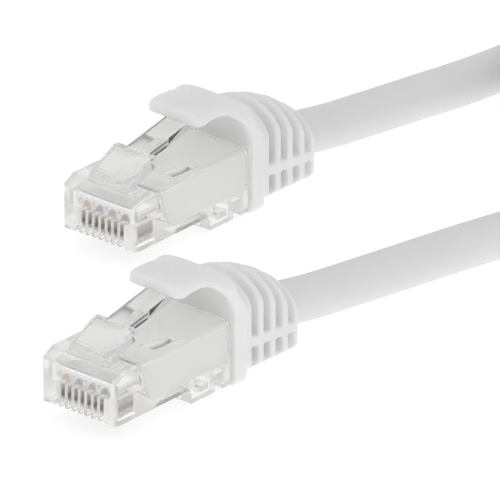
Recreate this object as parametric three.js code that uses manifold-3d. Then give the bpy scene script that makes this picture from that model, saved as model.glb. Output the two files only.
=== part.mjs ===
// Ethernet patch cable: two eight-contact modular plugs with moulded snagless boots, joined by
// one round cord that is wound into a tied coil. Millimetres, +Z up, floor at z = 0.
// Each plug end has its own frame: origin at the bottom of the nose face, +Y towards the cord.
import * as THREE from 'three';
import Module from 'manifold-3d';
import { mergeVertices } from 'three/addons/utils/BufferGeometryUtils.js';

const wasm = await Module();
wasm.setup();

// ---- Driving dimensions -------------------------------------------------------------------
const CONTACTS = 8;
const PITCH = 1.016; // between contacts
const PLUG_HALF_WIDTH = 5.84;
const NOSE_HEIGHT = 6.5;
const NOSE_LENGTH = 13.6; // from the nose face to the step down to the rails
const NOSE_FACE_HEIGHT = 5.5; // where the slope up to the top begins
const NOSE_SLOPE = 1.8; // how far back that slope reaches
const NOSE_CORNER = 0.25;
const HOUSING_LENGTH = 20.7;
const RAIL_BOTTOM = -1.86;
const RAIL_INNER = 4.0; // half the distance between the two rails
const CAVITY_HALF_WIDTH = 5.1;
const CAVITY_FLOOR = 1.1;
const CAVITY_TOP = 6.0;
const CHAMBER_FLOOR = 3.0; // the wire chamber ahead of the cavity
const CHAMBER_TOP = 4.95;
const CHAMBER_HALF_WIDTH = 4.55;
const CHAMBER_BACK = 6.3;
const CAVITY_NOSE = [[5.2, CAVITY_TOP], [5.3, 4.4], [6.0, 2.6], [6.6, 1.4], [7.3, CAVITY_FLOOR]];
const WIRE_TROUGH = { halfWidth: 2.2, from: 9.0, floor: 0.6 }; // lets the wires down to the jacket
const NOTCH = { along: [17.9, 19.3], top: 0.4 }; // across both rails
const RAIL_HOLE = { y: 14.7, z: 0.2, radius: 0.5 };
const WINDOW = [[1.8, 8.8], [4.3, 8.8], [4.3, 13.2], [2.8, 13.2]]; // in plan, right one of the pair
const CRIMP_BAR = { along: [16.0, 17.6], height: [-1.5, -0.7] };
const CONTACT_SLOT = { halfWidth: 0.28, back: 4.5 };
const CONTACT_SIDE = [
  [0.6, 1.0], [1.1, 0.4], [4.2, 0.4], [4.2, 2.7], [3.7, 3.15], [3.3, 2.7], [2.2, 2.7], [1.8, 3.15],
  [1.4, 2.7], [0.6, 2.7],
];
const CONTACT_HALF_THICKNESS = 0.16;
const LOAD_BAR = { halfWidth: 4.35, along: [1.2, 5.0], grooveRadius: 0.49 };
const LATCH_SHOULDERS = [[1.5, 6.85], [2.4, 6.8], [7.0, 8.2], [7.0, 9.6], [6.1, 9.6], [1.9, 7.6]];
const LATCH_TAIL = [[6.0, 8.2], [16.8, 10.4], [16.8, 11.25], [16.5, 11.4], [6.5, 9.4]];
const SHOULDER_HALF_WIDTH = 3.1;
const TAIL_HALF_WIDTH = 1.75;
const MOULD_NOSE = [[5.8, 5.9], [5.6, 5.7], [5.7, 4.5], [6.4, 2.8], [7.0, 1.7], [7.5, 1.4]];
const MOULD_HALF_WIDTH = 4.9;
const MOULD_WIRE_ROOM = { along: [5.0, 12.6], height: [1.7, 5.2] };
const GAP = 0.3; // between pieces that touch

const WIRE_RADIUS = 0.45;
const WIRE_HEIGHT = 3.8;
const WIRE_START = 1.0;
const WIRE_RING_RADIUS = 1.3; // where the eight wires sit inside the jacket
const WIRE_END = 19.0;

const CORD_RADIUS = 2.8;
const CORD_HEIGHT = 2.5; // the cord's axis above the nose's bottom face
const JACKET_BORE = 2.2;
const JACKET_START = 14.0;
const JACKET_END = 24.0;

const COLLAR_FRONT = 21.0;
const COLLAR_BACK = 23.4;
const COLLAR_HALF_WIDTH = 6.4;
const COLLAR_BOTTOM = -2.3;
const COLLAR_TOP = 12.0; // at its front, where the hood grows from it
const COLLAR_BACK_TOP = 10.3;
const BOOT_END = 34.5;
const BOOT_FRONT_SECTION = { halfWidth: 6.0, bottom: -1.3, top: 10.4 };
const BOOT_REAR_SECTION = { halfWidth: 4.9, bottom: -2.3, top: 5.8 };
const BORE_ROUTE = [[0, 19, 2.5], [0, 24.3, 2.5], [0, 29.4, 2.15], [0, 34.5, 1.5], [0, 36, 1.28]];
const SPINE_TOP = [2.7, 1.4]; // at the first and last slot
const SPINE_BOTTOM = [1.4, 0.25];
const SLOT_CENTRES = [25.4, 27.9, 30.4, 32.9];
const SLOT_WIDTH = 1.3;
const SLOT_DEPTH_TO = 3.6; // a slot stops this far from the boot's middle plane
const GROOVE_DEPTH = 0.6;

const HOOD_TIP = 13.1;
const HOOD_ROOT = 20.1;
const HOOD_HALF_WIDTH = 4.1;
const HOOD_ROOT_HALF_WIDTH = 5.6;
const HOOD_TOP = 13.2; // at the tip
const HOOD_ROOT_TOP = 12.0;
const HOOD_LIP = 1.9; // thickness of the rounded lip at the tip
const HOOD_THICKNESS = 1.3;

const NOSE_ABOVE_FLOOR = -COLLAR_BOTTOM; // the collars rest on the floor
const PLUG_OFFSET = [29.7, -37.9]; // from plug A to plug B

const COIL_CENTRE = [40.0, 87.0]; // in plug A's plan frame
const COIL_RADIUS = 31.1; // to the middle of the bundle, two turns wide and two high
const BUNDLE_HALF = 2 * CORD_RADIUS;
const TIE_ANGLE = 100; // degrees from +X, round the coil
const TIE_WIDTH = 4.0;
const TIE_THICKNESS = 0.7;

// The leads' centrelines from boot to coil: plan position in plug A's plan frame, and height.
const LEAD_A_ROUTE = [
  [0, 24.3, 4.8],
  [0, 29.4, 4.45],
  [0, 34.5, 3.8],
  [0.4, 38, 3.4],
  [0.9, 41, 3.1],
  [2.0, 48, 2.8],
  [3.5, 55, 2.8],
  [5.0, 62, 2.8],
  [6.0, 69, 2.8],
  [6.4, 76, 2.8],
  [6.3, 83, 2.8],
];
const LEAD_B_ROUTE = [
  [29.7, -13.6, 4.8],
  [29.7, -8.5, 4.45],
  [29.7, -3.4, 3.8],
  [30.1, 0.1, 3.4],
  [30.6, 3.1, 3.1],
  [31.7, 10.1, 2.8],
  [33.2, 17.1, 2.8],
  [34.7, 24.1, 2.8],
  [36.5, 31.4, 2.8],
  [39.4, 40.0, 3.0],
  [44.4, 47.8, 4.3],
  [50.8, 54.0, 7.0],
  [57.5, 58.5, 8.4],
];

// ---- Colours --------------------------------------------------------------------------------
const CLEAR = { color: 0xe9eceb, roughness: 0.12, metalness: 0, transparent: true, opacity: 0.4 };
const WHITE_PVC = { color: 0xdedede, roughness: 0.5, metalness: 0 };
const MOULD_WHITE = { color: 0xe6e6e4, roughness: 0.55, metalness: 0 };
const GOLD = { color: 0xd9a441, roughness: 0.25, metalness: 1 };
const TIE_WHITE = { color: 0xd2d2cf, roughness: 0.6, metalness: 0 };
const WIRE_COLOURS = [0xf0b890, 0xd9661f, 0xa9d3b0, 0x2f5fae, 0xa9bfe0, 0x2f8f4e, 0xc9ab92, 0x6b4028];

// ---- Geometry helpers -----------------------------------------------------------------------
function toSolid(geometry) {
  const plain = geometry.clone();
  plain.deleteAttribute('normal');
  plain.deleteAttribute('uv');
  const merged = mergeVertices(plain, 1e-5);
  return new wasm.Manifold(new wasm.Mesh({
    numProp: 3,
    vertProperties: merged.attributes.position.array,
    triVerts: new Uint32Array(merged.index.array),
  }));
}

function toGeometry(solid) {
  const mesh = solid.getMesh();
  const geometry = new THREE.BufferGeometry();
  geometry.setAttribute('position', new THREE.BufferAttribute(new Float32Array(mesh.vertProperties), 3));
  geometry.setIndex(new THREE.BufferAttribute(new Uint32Array(mesh.triVerts), 1));
  geometry.computeVertexNormals();
  return geometry;
}

function cut(solid, ...tools) {
  return tools.reduce((left, tool) => left.subtract(toSolid(tool)), solid);
}

function join(solid, ...others) {
  return others.reduce((whole, other) => whole.add(toSolid(other)), solid);
}

function box([x0, x1], [y0, y1], [z0, z1]) {
  const geometry = new THREE.BoxGeometry(x1 - x0, y1 - y0, z1 - z0);
  return geometry.translate((x0 + x1) / 2, (y0 + y1) / 2, (z0 + z1) / 2);
}

const ACROSS = new THREE.Matrix4().makeBasis(
  new THREE.Vector3(0, 1, 0), new THREE.Vector3(0, 0, 1), new THREE.Vector3(1, 0, 0));
const ALONG = new THREE.Matrix4().makeBasis(
  new THREE.Vector3(1, 0, 0), new THREE.Vector3(0, 0, 1), new THREE.Vector3(0, -1, 0));

// A side outline of [y, z] points, extruded across from x0 to x1.
function sideways(outline, x0, x1) {
  const shape = new THREE.Shape(outline.map(([y, z]) => new THREE.Vector2(y, z)));
  const geometry = new THREE.ExtrudeGeometry(shape, { depth: x1 - x0, bevelEnabled: false });
  return geometry.applyMatrix4(ACROSS).translate(x0, 0, 0);
}

// A front outline of [x, z] points, extruded along from y0 to y1.
function lengthways(outline, y0, y1) {
  const shape = new THREE.Shape(outline.map(([x, z]) => new THREE.Vector2(x, z)));
  const geometry = new THREE.ExtrudeGeometry(shape, { depth: y1 - y0, bevelEnabled: false });
  return geometry.applyMatrix4(ALONG).translate(0, y1, 0);
}

// A plan outline of [x, y] points, extruded up from z0 to z1.
function upwards(outline, z0, z1) {
  const shape = new THREE.Shape(outline.map(([x, y]) => new THREE.Vector2(x, y)));
  return new THREE.ExtrudeGeometry(shape, { depth: z1 - z0, bevelEnabled: false }).translate(0, 0, z0);
}

// A rounded rectangle as [x, z] points: one radius for the top corners, one for the bottom ones.
function roundedOutline(halfWidth, bottom, top, topRadius, bottomRadius, steps) {
  const corners = [
    [halfWidth - bottomRadius, bottom + bottomRadius, bottomRadius, -90],
    [halfWidth - topRadius, top - topRadius, topRadius, 0],
    [-halfWidth + topRadius, top - topRadius, topRadius, 90],
    [-halfWidth + bottomRadius, bottom + bottomRadius, bottomRadius, 180],
  ];
  return corners.flatMap(([x, z, radius, from]) => Array.from({ length: steps + 1 }, (_, i) => {
    const angle = THREE.MathUtils.degToRad(from + (90 * i) / steps);
    return [x + radius * Math.cos(angle), z + radius * Math.sin(angle)];
  }));
}

// A closed skin over rings of [x, y, z] points, each ring with the same count, front to back.
function loft(rings) {
  const count = rings[0].length;
  const positions = rings.flat(2);
  const middle = (ring) => [0, 1, 2].map((k) => ring.reduce((sum, p) => sum + p[k], 0) / count);
  positions.push(...middle(rings[0]), ...middle(rings.at(-1)));
  const frontHub = rings.length * count;
  const backHub = frontHub + 1;
  const lastRing = (rings.length - 1) * count;
  const index = [];
  for (let i = 0; i < count; i += 1) {
    const next = (i + 1) % count;
    index.push(frontHub, i, next);
    index.push(backHub, lastRing + next, lastRing + i);
    for (let j = 0; j < rings.length - 1; j += 1) {
      const here = j * count;
      const after = here + count;
      index.push(here + i, after + i, after + next);
      index.push(here + i, after + next, here + next);
    }
  }
  const geometry = new THREE.BufferGeometry();
  geometry.setAttribute('position', new THREE.Float32BufferAttribute(positions, 3));
  geometry.setIndex(index);
  geometry.computeVertexNormals();
  return geometry;
}

// A round bar along a curve through points, with its ends closed.
function bar(points, radius, sides, steps) {
  const section = new THREE.Shape(Array.from({ length: sides }, (_, i) => {
    const angle = (2 * Math.PI * (i + 0.5)) / sides;
    return new THREE.Vector2(radius * Math.cos(angle), radius * Math.sin(angle));
  }));
  const path = new THREE.CatmullRomCurve3(points.map((p) => new THREE.Vector3(...p)), false, 'centripetal');
  return new THREE.ExtrudeGeometry(section, { steps, extrudePath: path, bevelEnabled: false });
}

function cylinderAlongY(radius, sides, y0, y1, z) {
  const geometry = new THREE.CylinderGeometry(radius, radius, y1 - y0, sides);
  return geometry.translate(0, (y0 + y1) / 2, z);
}

function mesh(name, geometry, material) {
  const piece = new THREE.Mesh(geometry, new THREE.MeshStandardMaterial(material));
  piece.name = name;
  return piece;
}

const contactX = (i) => (i - (CONTACTS - 1) / 2) * PITCH;
const mix = THREE.MathUtils.lerp;

// ---- Plug -----------------------------------------------------------------------------------
function housing() {
  const side = [
    [0, 0], [NOSE_LENGTH, 0], [NOSE_LENGTH, RAIL_BOTTOM], [HOUSING_LENGTH, RAIL_BOTTOM],
    [HOUSING_LENGTH, NOSE_HEIGHT], [NOSE_SLOPE, NOSE_HEIGHT], [0, NOSE_FACE_HEIGHT],
  ];
  const plan = [
    [-PLUG_HALF_WIDTH, NOSE_CORNER], [-PLUG_HALF_WIDTH + NOSE_CORNER, 0],
    [PLUG_HALF_WIDTH - NOSE_CORNER, 0], [PLUG_HALF_WIDTH, NOSE_CORNER],
    [PLUG_HALF_WIDTH, HOUSING_LENGTH], [-PLUG_HALF_WIDTH, HOUSING_LENGTH],
  ];
  const outside = toSolid(sideways(side, -PLUG_HALF_WIDTH, PLUG_HALF_WIDTH))
    .intersect(toSolid(upwards(plan, RAIL_BOTTOM - 1, NOSE_HEIGHT + 1)));
  const past = HOUSING_LENGTH + 1;
  const wide = PLUG_HALF_WIDTH + 1;
  const cavitySide = [...CAVITY_NOSE, [past, CAVITY_FLOOR], [past, CAVITY_TOP]];
  const cavity = sideways(cavitySide, -CAVITY_HALF_WIDTH, CAVITY_HALF_WIDTH);
  const chamber = box([-CHAMBER_HALF_WIDTH, CHAMBER_HALF_WIDTH], [0.9, CHAMBER_BACK],
    [CHAMBER_FLOOR, CHAMBER_TOP]);
  const betweenRails = box([-RAIL_INNER, RAIL_INNER], [NOSE_LENGTH + 0.4, past],
    [RAIL_BOTTOM - 1, CAVITY_FLOOR + 0.1]);
  const trough = box([-WIRE_TROUGH.halfWidth, WIRE_TROUGH.halfWidth],
    [WIRE_TROUGH.from, NOSE_LENGTH + 0.5], [WIRE_TROUGH.floor, CAVITY_FLOOR + 0.1]);
  const notch = box([-wide, wide], NOTCH.along, [RAIL_BOTTOM - 1, NOTCH.top]);
  const railHole = new THREE.CylinderGeometry(RAIL_HOLE.radius, RAIL_HOLE.radius, 2 * wide, 12)
    .rotateZ(Math.PI / 2).translate(0, RAIL_HOLE.y, RAIL_HOLE.z);
  const windows = [-1, 1].map((s) => upwards(WINDOW.map(([x, y]) => [s * x, y]),
    CAVITY_TOP - 0.1, NOSE_HEIGHT + 0.1));
  const slots = Array.from({ length: CONTACTS }, (_, i) => box(
    [contactX(i) - CONTACT_SLOT.halfWidth, contactX(i) + CONTACT_SLOT.halfWidth],
    [-0.1, CONTACT_SLOT.back], [-0.1, CHAMBER_FLOOR + 0.1]));
  const shell = cut(outside, cavity, chamber, betweenRails, trough, ...windows, ...slots);
  const crimpBar = box([-RAIL_INNER - 0.2, RAIL_INNER + 0.2], CRIMP_BAR.along, CRIMP_BAR.height);
  return toGeometry(cut(join(shell, crimpBar), notch, railHole));
}

function latch() {
  const shoulders = sideways(LATCH_SHOULDERS, -SHOULDER_HALF_WIDTH, SHOULDER_HALF_WIDTH);
  const tail = sideways(LATCH_TAIL, -TAIL_HALF_WIDTH, TAIL_HALF_WIDTH);
  return toGeometry(join(toSolid(shoulders), tail));
}

function contact() {
  return sideways(CONTACT_SIDE, -CONTACT_HALF_THICKNESS, CONTACT_HALF_THICKNESS);
}

function loadBar() {
  const { halfWidth, along, grooveRadius } = LOAD_BAR;
  const bottom = WIRE_HEIGHT;
  const top = CHAMBER_TOP - 0.1;
  const outline = [[halfWidth, top], [-halfWidth, top], [-halfWidth, bottom]];
  for (let i = 0; i < CONTACTS; i += 1) {
    for (let k = 0; k <= 6; k += 1) {
      const angle = Math.PI * (1 - k / 6);
      outline.push([contactX(i) + grooveRadius * Math.cos(angle), bottom + grooveRadius * Math.sin(angle)]);
    }
  }
  outline.push([halfWidth, bottom]);
  return lengthways(outline, ...along);
}

function wireRoute(i) {
  const x = contactX(i);
  const column = Math.floor(i / 2);
  const upper = i % 2 === 0;
  const angle = THREE.MathUtils.degToRad(157.5 - 45 * column) * (upper ? 1 : -1);
  const ringX = WIRE_RING_RADIUS * Math.cos(angle);
  const ringZ = CORD_HEIGHT + WIRE_RING_RADIUS * Math.sin(angle);
  return [
    [x, WIRE_START, WIRE_HEIGHT],
    [x, 3.5, WIRE_HEIGHT],
    [x, 6.0, WIRE_HEIGHT],
    [mix(x, ringX, 0.35), 10.0, mix(WIRE_HEIGHT, ringZ, 0.85)],
    [ringX, 14.0, ringZ],
    [ringX, 16.5, ringZ],
    [ringX, WIRE_END, ringZ],
  ];
}

function innerMould() {
  const back = HOUSING_LENGTH - 0.1;
  const bottom = MOULD_NOSE.at(-1)[1];
  const side = [...MOULD_NOSE, [back, bottom], [back, MOULD_NOSE[0][1]]];
  const block = toSolid(sideways(side, -MOULD_HALF_WIDTH, MOULD_HALF_WIDTH));
  const wireRoom = box([-LOAD_BAR.halfWidth, LOAD_BAR.halfWidth], MOULD_WIRE_ROOM.along,
    MOULD_WIRE_ROOM.height);
  const jacketRoom = cylinderAlongY(CORD_RADIUS + GAP, 24, 8.0, HOUSING_LENGTH + 1, CORD_HEIGHT);
  return toGeometry(cut(block, wireRoom, jacketRoom));
}

function jacketEnd() {
  const profile = [
    [JACKET_BORE, JACKET_START], [CORD_RADIUS, JACKET_START], [CORD_RADIUS, JACKET_END],
    [JACKET_BORE, JACKET_END], [JACKET_BORE, JACKET_START],
  ].map(([r, y]) => new THREE.Vector2(r, y));
  return new THREE.LatheGeometry(profile, 20).translate(0, 0, CORD_HEIGHT);
}

// ---- Boot -----------------------------------------------------------------------------------
function bootSection(y) {
  const t = Math.max(0, (y - COLLAR_BACK) / (BOOT_END - COLLAR_BACK));
  const at = (key, share) => mix(BOOT_FRONT_SECTION[key], BOOT_REAR_SECTION[key], share);
  return { halfWidth: at('halfWidth', t), bottom: at('bottom', t), top: at('top', t * t) };
}

function bootRing(y, inset) {
  const { halfWidth, bottom, top } = bootSection(y);
  const radius = 3.4;
  return roundedOutline(halfWidth, bottom, top, radius, 0.8, 5).map(([x, z]) => {
    const upper = Math.max(0, Math.min(1, (z - (top - radius)) / 1.5));
    const shrink = 1 - (inset * upper) / halfWidth;
    return [x * shrink, y, z > top - radius ? z - inset * upper * ((z - top + radius) / radius) : z];
  });
}

function bootBody() {
  const rings = [bootRing(COLLAR_BACK - 0.5, 0)];
  SLOT_CENTRES.forEach((y) => {
    const half = SLOT_WIDTH / 2;
    rings.push(bootRing(y - half - 0.15, 0), bootRing(y - half + 0.15, GROOVE_DEPTH));
    rings.push(bootRing(y + half - 0.15, GROOVE_DEPTH), bootRing(y + half + 0.15, 0));
  });
  rings.push(bootRing(BOOT_END - 0.5, 0), bootRing(BOOT_END, 0.4));
  return loft(rings);
}

function bootSlots() {
  return SLOT_CENTRES.flatMap((y, i) => {
    const { bottom, top } = bootSection(y);
    const t = i / (SLOT_CENTRES.length - 1);
    const across = [SLOT_DEPTH_TO, COLLAR_HALF_WIDTH + 1];
    const along = [y - SLOT_WIDTH / 2, y + SLOT_WIDTH / 2];
    const upper = [mix(SPINE_TOP[0], SPINE_TOP[1], t), top - 2.5];
    const lower = [bottom + 0.5, mix(SPINE_BOTTOM[0], SPINE_BOTTOM[1], t)];
    return [upper, lower].flatMap((height) => [
      box(across, along, height), box([-across[1], -across[0]], along, height)]);
  });
}

function boot() {
  const ring = (y, top, round, grow) => roundedOutline(COLLAR_HALF_WIDTH + grow,
    COLLAR_BOTTOM - grow * 0.3, top + grow, round, 1.0, 6).map(([x, z]) => [x, y, z]);
  const collar = loft([
    ring(COLLAR_FRONT, COLLAR_TOP, 2.4, 0),
    ring(COLLAR_BACK - 0.6, COLLAR_BACK_TOP + 0.3, 3.4, 0),
    ring(COLLAR_BACK, COLLAR_BACK_TOP, 3.5, -0.45)]);
  const skirts = [-1, 1].map((s) => sideways(
    [[COLLAR_FRONT + 0.2, 6.9], [COLLAR_FRONT + 0.2, 8.3], [19.3, 8.3]],
    s > 0 ? 4.7 : -5.9, s > 0 ? 5.9 : -4.7));
  const bore = bar(BORE_ROUTE, CORD_RADIUS + GAP, 24, 16);
  return toGeometry(cut(join(toSolid(collar), bootBody(), ...skirts), bore, ...bootSlots()));
}

function hood() {
  const length = HOOD_ROOT - HOOD_TIP;
  const stations = [0, 0.06, 0.16, 0.34, 0.55, 0.75, 1];
  const rings = stations.map((t) => {
    const y = HOOD_TIP + length * t;
    const rounding = Math.sqrt(1 - (1 - Math.min(1, t / 0.34 + 0.1)) ** 2);
    const halfWidth = mix(HOOD_HALF_WIDTH, HOOD_ROOT_HALF_WIDTH, t ** 2) * rounding;
    const top = mix(HOOD_TOP, HOOD_ROOT_TOP, t ** 1.6);
    const bottom = top - mix(HOOD_LIP, HOOD_THICKNESS, Math.min(1, t / 0.34));
    const droop = mix(0.2, 1.1, t);
    const across = Array.from({ length: 9 }, (_, i) => -1 + i / 4);
    const outer = across.map((u) => [halfWidth * u, y, top - droop * u * u]);
    const inner = across.map((u) => [(halfWidth - 0.3) * u, y, bottom - droop * u * u]);
    return [...inner, ...outer.reverse()];
  });
  return loft(rings);
}

// ---- One plug end ---------------------------------------------------------------------------
function plugEnd(side) {
  const end = new THREE.Group();
  end.add(mesh(`plug_housing_${side}`, housing(), CLEAR));
  end.add(mesh(`latch_${side}`, latch(), CLEAR));
  end.add(mesh(`load_bar_${side}`, loadBar(), CLEAR));
  for (let i = 0; i < CONTACTS; i += 1) {
    const blade = mesh(`contact_${side}_${i + 1}`, contact(), GOLD);
    blade.position.x = contactX(i);
    end.add(blade);
    const wire = bar(wireRoute(i), WIRE_RADIUS, 6, 12);
    end.add(mesh(`wire_${side}_${i + 1}`, wire, { color: WIRE_COLOURS[i], roughness: 0.5, metalness: 0 }));
  }
  end.add(mesh(`inner_mould_${side}`, innerMould(), MOULD_WHITE));
  end.add(mesh(`jacket_end_${side}`, jacketEnd(), WHITE_PVC));
  end.add(mesh(`boot_${side}`, boot(), WHITE_PVC));
  end.add(mesh(`boot_hood_${side}`, hood(), WHITE_PVC));
  end.position.z = NOSE_ABOVE_FLOOR;
  return end;
}

// ---- Cord -----------------------------------------------------------------------------------
function coilRing(grow) {
  const half = BUNDLE_HALF + grow;
  const outline = roundedOutline(half, -grow, 2 * BUNDLE_HALF + grow, 2.4 + grow, 2.4 + grow, 3);
  const profile = outline.map(([x, z]) => new THREE.Vector2(COIL_RADIUS + x, z));
  profile.push(profile[0].clone());
  return new THREE.LatheGeometry(profile, 56).rotateX(Math.PI / 2)
    .translate(COIL_CENTRE[0], COIL_CENTRE[1], 0);
}

// Turns a piece modelled on the +X side of the coil's centre to its place round the coil.
function roundCoil(geometry) {
  return geometry.rotateZ(THREE.MathUtils.degToRad(TIE_ANGLE))
    .translate(COIL_CENTRE[0], COIL_CENTRE[1], 0);
}

function tieBox(inside, halfWidth) {
  const half = BUNDLE_HALF + GAP + inside;
  return roundCoil(box([COIL_RADIUS - half, COIL_RADIUS + half], [-halfWidth, halfWidth],
    [TIE_THICKNESS - inside, 2 * BUNDLE_HALF + TIE_THICKNESS + 2 * GAP + inside]));
}

function cableTie() {
  return toGeometry(cut(toSolid(tieBox(TIE_THICKNESS, TIE_WIDTH / 2)), tieBox(0, TIE_WIDTH)));
}

function coil() {
  const half = BUNDLE_HALF + 1;
  const strapRoom = roundCoil(box([COIL_RADIUS - half, COIL_RADIUS + half],
    [-TIE_WIDTH / 2 - GAP, TIE_WIDTH / 2 + GAP], [-1, TIE_THICKNESS + GAP]));
  return toGeometry(cut(toSolid(coilRing(0)), strapRoom));
}

function lead(route, steps) {
  return toGeometry(cut(toSolid(bar(route, CORD_RADIUS, 12, steps)), coilRing(GAP)));
}

// ---- The whole cable, its origin under the middle of the two plug ends -------------------------
const cable = new THREE.Group();
const endA = plugEnd('a');
const endB = plugEnd('b');
endB.position.x = PLUG_OFFSET[0];
endB.position.y = PLUG_OFFSET[1];
cable.add(endA, endB);
cable.add(mesh('cable_lead_a', lead(LEAD_A_ROUTE, 14), WHITE_PVC));
cable.add(mesh('cable_coil', coil(), WHITE_PVC));
cable.add(mesh('cable_lead_b', lead(LEAD_B_ROUTE, 18), WHITE_PVC));
cable.add(mesh('cable_tie', cableTie(), TIE_WHITE));
cable.position.set(-PLUG_OFFSET[0] / 2, -(BOOT_END + PLUG_OFFSET[1]) / 2, 0);

const model = new THREE.Group();
model.add(cable);

export default model;
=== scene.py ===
"""Ethernet patch cable: two clear modular plugs in white moulded boots, joined by one white cord.

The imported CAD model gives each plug's place. Shapes below are drawn in millimetres in a plug's
own frame, which has its origin at the bottom of the nose face, +Y towards the cord and +Z up, and
are then set down on each plug in metres. The cord's route starts from plug a's place.
"""

import math

import bmesh
import bpy
import numpy as np
from mathutils import Matrix, Vector


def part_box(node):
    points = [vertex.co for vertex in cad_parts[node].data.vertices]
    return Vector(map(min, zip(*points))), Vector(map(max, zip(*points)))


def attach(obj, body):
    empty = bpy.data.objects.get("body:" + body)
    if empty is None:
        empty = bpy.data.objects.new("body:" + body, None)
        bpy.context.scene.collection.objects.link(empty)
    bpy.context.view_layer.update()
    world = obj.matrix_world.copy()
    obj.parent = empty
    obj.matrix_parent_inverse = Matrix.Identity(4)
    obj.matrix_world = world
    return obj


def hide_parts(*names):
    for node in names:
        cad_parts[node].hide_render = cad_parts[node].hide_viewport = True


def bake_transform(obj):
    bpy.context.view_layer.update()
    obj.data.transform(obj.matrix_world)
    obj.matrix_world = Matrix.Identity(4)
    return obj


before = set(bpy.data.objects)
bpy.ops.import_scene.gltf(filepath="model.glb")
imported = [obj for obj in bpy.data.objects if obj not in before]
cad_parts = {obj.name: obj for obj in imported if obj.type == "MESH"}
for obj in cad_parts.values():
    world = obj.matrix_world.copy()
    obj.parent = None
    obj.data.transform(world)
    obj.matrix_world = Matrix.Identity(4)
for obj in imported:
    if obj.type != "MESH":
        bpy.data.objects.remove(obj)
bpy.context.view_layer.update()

MM = 0.001
SIDES = ("a", "b")
FIXED = "cable"  # the body that everything but the hoods and latches rides on

# ---- Sizes in millimetres, in the plug's frame ------------------------------------------------
NOSE_HEIGHT = 6.5
PLUG_HALF_WIDTH = 5.84
CORD_RADIUS = 2.8
CORD_AXIS = 2.5  # height of the cord's axis in the plug
COLLAR = {"front": 21.0, "back": 23.4, "half": 6.4, "bottom": -2.3, "top": 12.0, "back_top": 9.95}
BODY_FRONT = {"half": 6.0, "bottom": -1.3, "top": 10.4}
BODY_REAR = {"half": 4.9, "bottom": -2.3, "top": 5.8}
BOOT_END = 34.5
BOOT_END_ROUND = 0.6
ROOF = 3.6  # height of the boot's rounded roof above its straight sides
ROOF_POWER = 1.75
BOTTOM_CORNER = 0.7
NECK_DIP = 0.5  # how far the roof sinks between the collar and the first rib
NECK_LENGTH = 1.4
SLOTS = (25.4, 27.9, 30.4, 32.9)
SLOT_WIDTH = 1.3
SLOT_EDGE = 0.24  # the length over which a slot's wall sinks
SLOT_DEPTH_TO = 3.5
GROOVE_DEPTH = 0.65
SPINE_TOP = (2.7, 1.4)  # the bar between upper and lower slots, at the first slot and the last
SPINE_BOTTOM = (1.4, 0.25)
SPINE_EDGE = 0.3
FOOT_HEIGHT = 0.35  # of the strip without slots along the boot's bottom
FOOT_EDGE = 0.2
BORE = [(0, 19, 2.5), (0, 24.3, 2.5), (0, 29.4, 2.15), (0, 34.5, 1.5), (0, 37, 1.15)]
BORE_GAP = 0.1
HOOD_TIP = 12.9
HOOD_TOP = 13.2
HOOD_NOSE = 13.9  # forward of here the hood's lip is rounded off
# The hood's half width and the height of its lower border, by distance from the nose face.
HOOD_WIDTHS = [
    (12.9, 0.0), (12.93, 2.2), (13.05, 3.0), (13.3, 3.6), (13.7, 4.0), (14.3, 4.2), (15.5, 4.25),
    (16.6, 4.3), (17.6, 4.45), (18.4, 4.8), (19.1, 5.3), (19.8, 5.8), (20.4, 6.15), (21.0, 6.38),
    (21.6, 6.38),
]
HOOD_BORDERS = [
    (12.9, 11.2), (14.2, 11.2), (15.5, 11.5), (17.0, 11.6), (18.2, 11.45), (19.0, 11.0),
    (19.8, 10.3), (20.5, 9.2), (21.0, 7.6), (21.6, 7.0),
]
HOOD_ROOT_AT = 0.45  # from this share of the way on, the hood's roof grows to the collar's
HOOD_WALL = (1.75, 1.25)  # thickness at the tip, and 3 mm behind it
DIMPLE = (-1.3, 18.6)  # the moulding gate's mark on top of the hood
DIMPLE_RADIUS = 0.42
DIMPLE_DEPTH = 0.22
SKIN = 0.13  # size of the boot's even faces
LATCH_HALF_WIDTH = 3.1
LATCH_SHOULDERS = [(1.5, 6.3), (1.5, 6.9), (2.0, 7.6), (6.1, 9.6), (7.0, 9.6), (7.0, 8.2),
                   (2.5, 6.75), (2.5, 6.3)]
TAIL_HALF_WIDTH = 1.75
TAIL = [(6.0, 8.2), (16.8, 10.4), (16.8, 11.25), (16.5, 11.4), (6.5, 9.4)]
TAIL_MAP_LENGTH = 11.0
MOULD_HALF_WIDTH = 5.13
MOULD_BACK = 20.6
MOULD_BOTTOM = 1.08
MOULD_TOP = 6.02
MOULD_NOSE = [(7.35, 1.08), (7.0, 1.13), (6.7, 1.28), (6.5, 1.5), (6.0, 2.5), (5.6, 3.5),
              (5.3, 4.3), (5.2, 6.02)]
POCKET = [(1.9, 8.9), (4.2, 8.9), (4.2, 13.1), (2.8, 13.1)]  # under each window of the shell
POCKET_FLOOR = 5.3
JACKET_GAP = 0.3
HOUSING_EDGE = 0.12
CONTACT_EDGE = 0.04

# ---- The cord's route, in millimetres, in plug a's plan frame with heights above the floor ------
COIL_CENTRE = (40.0, 87.0)
COIL_RADIUS = 31.1
COIL_ENTRY = 180.0  # degrees round the coil where lead a joins its turns
COIL_EXIT = -58.0
COIL_STEP = 7.5  # degrees from point to point
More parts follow.
